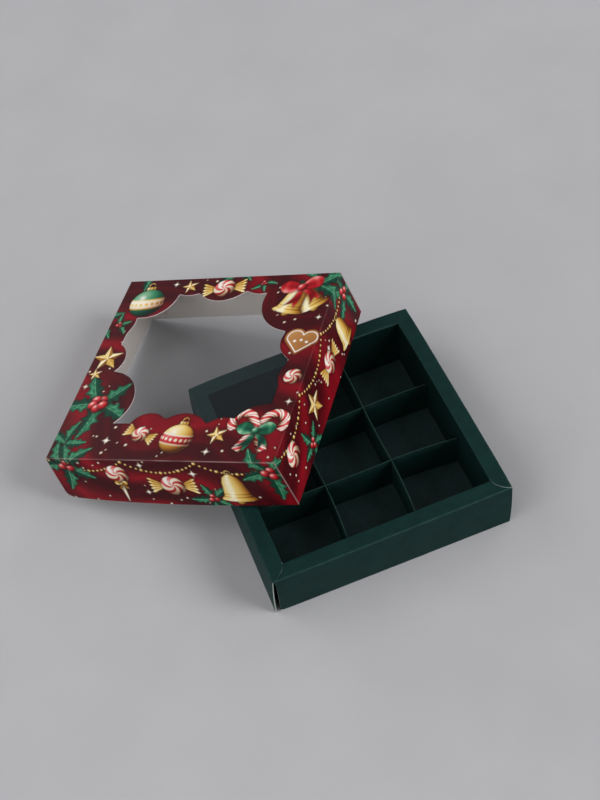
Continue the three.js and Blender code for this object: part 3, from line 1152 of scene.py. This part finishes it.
def draw_ground(ink):
    """Velvet in soft folds that run over the whole sheet."""
    x, y = ink.spots.T
    drift = 0.055 * x + 0.085 * y + 1.5 * np.sin(0.043 * x - 0.031 * y + 0.7)
    folds = 0.5 + 0.5 * np.sin(1.5 * drift + 1.3 * np.sin(0.061 * y + 0.023 * x))
    fine = 0.5 + 0.5 * np.sin(4.1 * drift + 1.7 * np.sin(0.09 * x - 0.05 * y) + 2)
    ink.colour[:] = shade(VELVET, 0.16 + 0.50 * folds**1.8 + 0.12 * fine**3)


def draw_dots(ink):
    """Small cream beads of light scattered over the sheet."""
    draws = random.Random(DOT_SEED)
    reach = LID_HALF + LID_HEIGHT
    for _ in range(DOT_COUNT):
        spot = (draws.uniform(-reach, reach), draws.uniform(-reach, reach))
        size = draws.uniform(*DOT_SIZES)
        ink.stamp(spot, 0, size, ball, size, CREAM_INK, halo=0.3)


def draw_edge(ink):
    """The print darkens a little towards the window's cut edge."""
    x, y = ink.spots.T
    inset = np.hypot(x, y) - window_reach(np.arctan2(y, x))
    ink.lay(slice(None), linear(SHADOW_INK), 0.55 * np.clip(1 - inset / EDGE_BAND, 0, 1) ** 2)


def on_wall(side, along, down):
    """The place on the blank, and the upright turn, of a motif on a lid wall."""
    right = SIDES[side][1]
    return on_side(side, LID_HALF + down, along), math.atan2(right[1], right[0])


def draw_swags(ink):
    """Strings of gold beads that hang from the fold line along each wall."""
    for side in SIDES:
        for first, last in zip(SWAG_HOOKS, SWAG_HOOKS[1:]):
            for bead in range(SWAG_BEADS):
                share = bead / SWAG_BEADS
                down = SWAG_TOP + 4 * SWAG_DEPTH * share * (1 - share)
                spot, _ = on_wall(side, first + (last - first) * share, down)
                size = LARGE_BEAD if bead % 4 == 0 else SMALL_BEAD
                ink.stamp(spot, 0, size, ball, size, GOLD_INK, halo=0.45)


def draw_walls(ink):
    """Motifs along the four walls, upright when the lid stands on its open side."""
    sprigs = {
        "front": ((68, 9, 0.6, 22), (-62, 6, 2.9, 22), (26, 30, -0.9, 14)),
        "right": ((66, 10, -0.5, 20), (-36, 30, 0.3, 15)),
        "back": ((0, 8, 3.4, 19), (-66, 24, 0.5, 18), (62, 8, 2.6, 18)),
        "left": ((44, 26, 0.6, 19), (-36, 10, 3.0, 19)),
    }
    rows = {
        "front": ((draw_lollipop, -30, 12, 7.2), (draw_sweet, 4, 20, 7.4), (draw_bell, 42, 30, 20)),
        "right": ((draw_mint, -56, 15, 7.4), (draw_star, -16, 19, 9.5), (draw_sweet, 18, 20, 7),
                  (draw_bell, 46, 30, 18)),
        "back": ((draw_star, -40, 18, 9.5), (draw_sweet, 28, 21, 7.6), (draw_bell, -10, 31, 18)),
        "left": ((draw_heart, -58, 19, 9), (draw_sweet, -8, 20, 7.4), (draw_star, 22, 15, 8),
                 (draw_mint, 62, 12, 6.4)),
    }
    for side, places in sprigs.items():
        for along, down, lean, size in places:
            spot, upright = on_wall(side, along, down)
            draw_sprig(ink, spot, upright + lean, size, leaves=5, berries=3)
    for side, places in rows.items():
        for draw, along, down, size in places:
            spot, upright = on_wall(side, along, down)
            draw(ink, spot, upright, size)


def draw_top(ink):
    """Motifs round the window: a large one on each large lobe, a small one on each small lobe."""
    draw_sprig(ink, (-55, -32), 0.45, 27, leaves=5, berries=5)
    draw_sprig(ink, (-66, -62), -0.9, 17, leaves=4, berries=0)
    draw_sprig(ink, (62, 64), -2.2, 24, leaves=5, berries=0)
    draw_star(ink, (-63.5, 5), 0.15, 10.5)
    draw_bauble(ink, (-54, 53), 0.1, 12.0, HOLLY_INK, CREAM_INK, GOLD_INK)
    draw_sweet(ink, (-2, 64), 0.12, 7.2)
    draw_bells(ink, (52, 62), 0.2, 20)
    draw_heart(ink, (64, 17), -0.12, 9.4)
    draw_canes(ink, (56, -50), 0.0, 34)
    draw_bauble(ink, (8, -58), -0.12, 10.5, GOLD_INK, RED_INK, CREAM_INK)
    draw_mint(ink, (67, -11), 0.4, 5.6)
    for x, y, size in ((-27, 66.5, 5.6), (-67, -8, 4.6), (33, -55, 6.4)):
        draw_star(ink, (x, y), 0.3, size)
    draw_sprig(ink, (-67, 34), -1.2, 10)
    draw_sprig(ink, (25, 67), 3.4, 9)
    draw_sweet(ink, (-17, -55), -0.35, 5.4)


def draw_sparkles(ink):
    for x, y, size in SPARKLES:
        ink.stamp((x, y), 0, size, sparkle, size, halo=0.35)


def draw_wear(ink):
    """The fold lines, rubbed pale, more so at the front."""
    x, y = ink.spots.T
    for value, other, strength in ((-y, x, 0.44), (y, x, 0.15), (x, y, 0.08), (-x, y, 0.2)):
        line = band(value, LID_HALF - 0.3, LID_HALF + 0.2, 0.5)
        rub = 0.7 + 0.3 * np.sin(other * 0.21 + 2 * np.sin(other * 0.083))
        ink.lay(slice(None), linear(RUBBED_INK), line * rub * strength)


def draw_print(spots):
    ink = Ink(spots)
    draw_ground(ink)
    draw_dots(ink)
    draw_edge(ink)
    draw_swags(ink)
    draw_walls(ink)
    draw_top(ink)
    draw_sparkles(ink)
    draw_wear(ink)
    return ink.colour


# Lid pieces

def make_lid_board():
    """The lid's top and walls, with the print laid over all of them at once."""
    shells = {"top": (*top_points(TOP_ROWS, 0.0), top_points(TOP_BACK_ROWS, -BOARD)[0])}
    rows_down = round(LID_HEIGHT / WALL_CELL)
    for side in SIDES:
        back, _ = lid_wall_points(side, WALL_BACK_ROWS, -BOARD)
        shells["wall_" + side] = (*lid_wall_points(side, rows_down, 0.0), back)
    blanks = [blank.reshape(-1, 2) for _, blank, _ in shells.values()]
    colours = draw_print(np.concatenate(blanks))
    first = 0
    for (name, (front, _, back)), blank in zip(shells.items(), blanks):
        is_top = name == "top"
        # The walls' cut edges take the darker copy, with painted shade
        cut = WINDOW_CUT if is_top else LID_CUT_SHADED
        mesh = panel("lid_" + name, front, back, (PRINTED, BARE, cut), wrapped=is_top)
        inks = np.ones((len(mesh.vertices), 4), np.float32)
        inks[:len(blank), :3] = colours[first:first + len(blank)]
        layer = mesh.color_attributes.new("ink", "FLOAT_COLOR", "POINT")
        layer.data.foreach_set("color", inks.ravel())
        first += len(blank)
        add_piece("lid_" + name + "_board", mesh, "lid", ["lid_" + name])


def make_film():
    """The clear sheet glued behind the window, not quite flat."""
    left, right = WINDOW_LEFT - FILM_OVERLAP, WINDOW_RIGHT + FILM_OVERLAP
    front, back = WINDOW_FRONT - FILM_OVERLAP, WINDOW_BACK + FILM_OVERLAP
    across, deep, faces = flat_grid(left, right, front, back, FILM_CELLS)
    sag = FILM_SAG * np.sin(math.pi * (across - left) / (right - left))
    sag *= np.sin(math.pi * (deep - front) / (back - front))
    sag *= 1 + FILM_RIPPLE * np.sin(across / 19) * np.cos(deep / 15)
    upper = np.stack([across, deep, LID_HEIGHT - BOARD - SKIN_GAP - sag], axis=-1)
    lower = upper - np.array([0, 0, FILM_THICKNESS])
    mesh = thick_sheet("window_film", upper, lower, faces, (FILM, FILM, FILM))
    add_piece("window_film_sheet", mesh, "lid", ["window_film"])


def make_glue_tabs():
    """Tabs that fold in from the left and right walls behind the ends of the other two walls."""
    share_end = 1 - (BOARD + 2 * SKIN_GAP + LID_FOLD) / LID_HALF
    shares = np.linspace(share_end - TAB_WIDTH / LID_HALF, share_end, TAB_COLUMNS)[None, :]
    run = np.linspace(TAB_INSET + LID_FOLD, WALL_RUN - TAB_INSET, TAB_ROWS)[:, None]
    for node in [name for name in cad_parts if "glue_tab" in name]:
        side = "front" if "front" in node else "back"
        at_left_end = ("left" in node) == (side == "front")     # seen from outside
        share = -shares if at_left_end else shares
        near, _ = wall_point(side, share, run, -BOARD - SKIN_GAP)
        far, _ = wall_point(side, share, run, -2 * BOARD - SKIN_GAP)
        mesh = panel(node, near, far, (BARE, BARE, WINDOW_CUT))
        add_piece(node + "_board", mesh, "lid", [node])


# Camera, floor and light

CAMERA_PLACE = (-125.0, -413.4, 663.2)
CAMERA_TURN = math.radians(13.952)
CAMERA_DIP = math.radians(53.605)
CAMERA_ROLL = math.radians(9.422)
CAMERA_LENS = 58.35
CAMERA_SENSOR = 36.0     # along the picture's long side
CAMERA_NEAR = 0.01       # in metres
CAMERA_FAR = 50.0
FLOOR_HALF = 3.0         # in metres
FLOOR_GREYS = ((184, 184, 187), (188, 188, 191))


def make_camera():
    data = bpy.data.cameras.new("camera")
    data.lens = CAMERA_LENS
    data.sensor_width = CAMERA_SENSOR
    data.clip_start = CAMERA_NEAR
    data.clip_end = CAMERA_FAR
    camera = add_object("camera", data)
    turn = Matrix.Rotation(-CAMERA_TURN, 4, "Z") @ Matrix.Rotation(math.pi / 2 - CAMERA_DIP, 4, "X")
    turn = turn @ Matrix.Rotation(-CAMERA_ROLL, 4, "Z")
    camera.matrix_world = Matrix.Translation(Vector(CAMERA_PLACE) * MM) @ turn
    bpy.context.scene.camera = camera


def make_floor():
    """A plain pale grey sheet with a fine mottle."""
    look = Look("floor_paper")
    dark, light = FLOOR_GREYS
    colour = look.between(look.noise(60, detail=3), rgba(dark), rgba(light))
    mesh = bpy.data.meshes.new("floor")
    signs = ((-1, -1), (1, -1), (1, 1), (-1, 1))
    points = [(x * FLOOR_HALF, y * FLOOR_HALF, 0) for x, y in signs]
    mesh.from_pydata(points, [], [(0, 1, 2, 3)])
    mesh.materials.append(look.finish(colour, roughness=0.9, shine=0.1))
    add_object("floor", mesh)


LAMP_DISTANCE = 6.0
LAMP_COLOUR = (1.0, 0.995, 1.0)
# Each lamp's direction round from +X and height above the floor, in degrees, its width in metres
# and its share of the light on the open floor
LAMPS = {
    "right_lamp": (324, 40, 3.2, 0.315),
    "low_right_lamp": (316, 15, 3.2, 0.070),
    "front_lamp": (252, 40, 3.2, 0.029),
    "front_left_lamp": (216, 40, 3.2, 0.080),
    "left_lamp": (180, 40, 3.2, 0.049),
    "low_left_lamp": (195, 15, 3.2, 0.059),
    "left_back_lamp": (144, 40, 3.2, 0.096),
    "low_back_lamp": (120, 15, 3.2, 0.060),
    "back_lamp": (36, 40, 3.2, 0.059),
    "top_lamp": (180, 65, 3.2, 0.090),
    "over_lamp": (100, 82, 4.0, 0.031),
}
SKY_LIGHT = 0.03
BACKDROP_LIGHT = 0.45
SKY_COLOUR = (0.98, 0.985, 1.0, 1.0)


def add_lamp(name, azimuth, height, width, share):
    """A broad soft lamp that faces the box."""
    azimuth = math.radians(azimuth)
    height = math.radians(height)
    level = math.cos(height)
    away = Vector((level * math.cos(azimuth), level * math.sin(azimuth), math.sin(height)))
    lamp = bpy.data.lights.new(name, "AREA")
    lamp.shape = "DISK"
    lamp.size = width
    lamp.energy = share * (math.pi * LAMP_DISTANCE) ** 2 / math.sin(height)
    lamp.color = LAMP_COLOUR
    holder = add_object(name, lamp)
    holder.location = away * LAMP_DISTANCE
    holder.rotation_mode = "QUATERNION"
    holder.rotation_quaternion = (-away).to_track_quat("-Z", "Y")


def make_light():
    """Soft lamps round the box and a faint light from everywhere. The camera and every reflection
    see a plain grey instead of that faint light."""
    world = bpy.data.worlds.new("studio")
    bpy.context.scene.world = world
    world.use_nodes = True
    studio = Tree(world.node_tree)
    rays = studio.node("LightPath").outputs
    seen = rays["Is Camera Ray"]
    for kind in ("Is Glossy Ray", "Is Transmission Ray"):
        seen = studio.math("MAXIMUM", seen, rays[kind])
    strength = studio.node("Mix", {"Factor": seen, "A": SKY_LIGHT, "B": BACKDROP_LIGHT})
    background = studio.nodes["Background"].inputs
    studio.feed(background["Strength"], strength.outputs["Result"])
    studio.feed(background["Color"], SKY_COLOUR)
    for name, values in LAMPS.items():
        add_lamp(name, *values)


make_camera()
make_floor()
make_light()
for side_name in SIDES:
    make_tray_side(side_name)
make_tray_floor()
make_dividers()
make_lid_board()
make_film()
make_glue_tabs()

bpy.context.scene.view_settings.view_transform = "Standard"
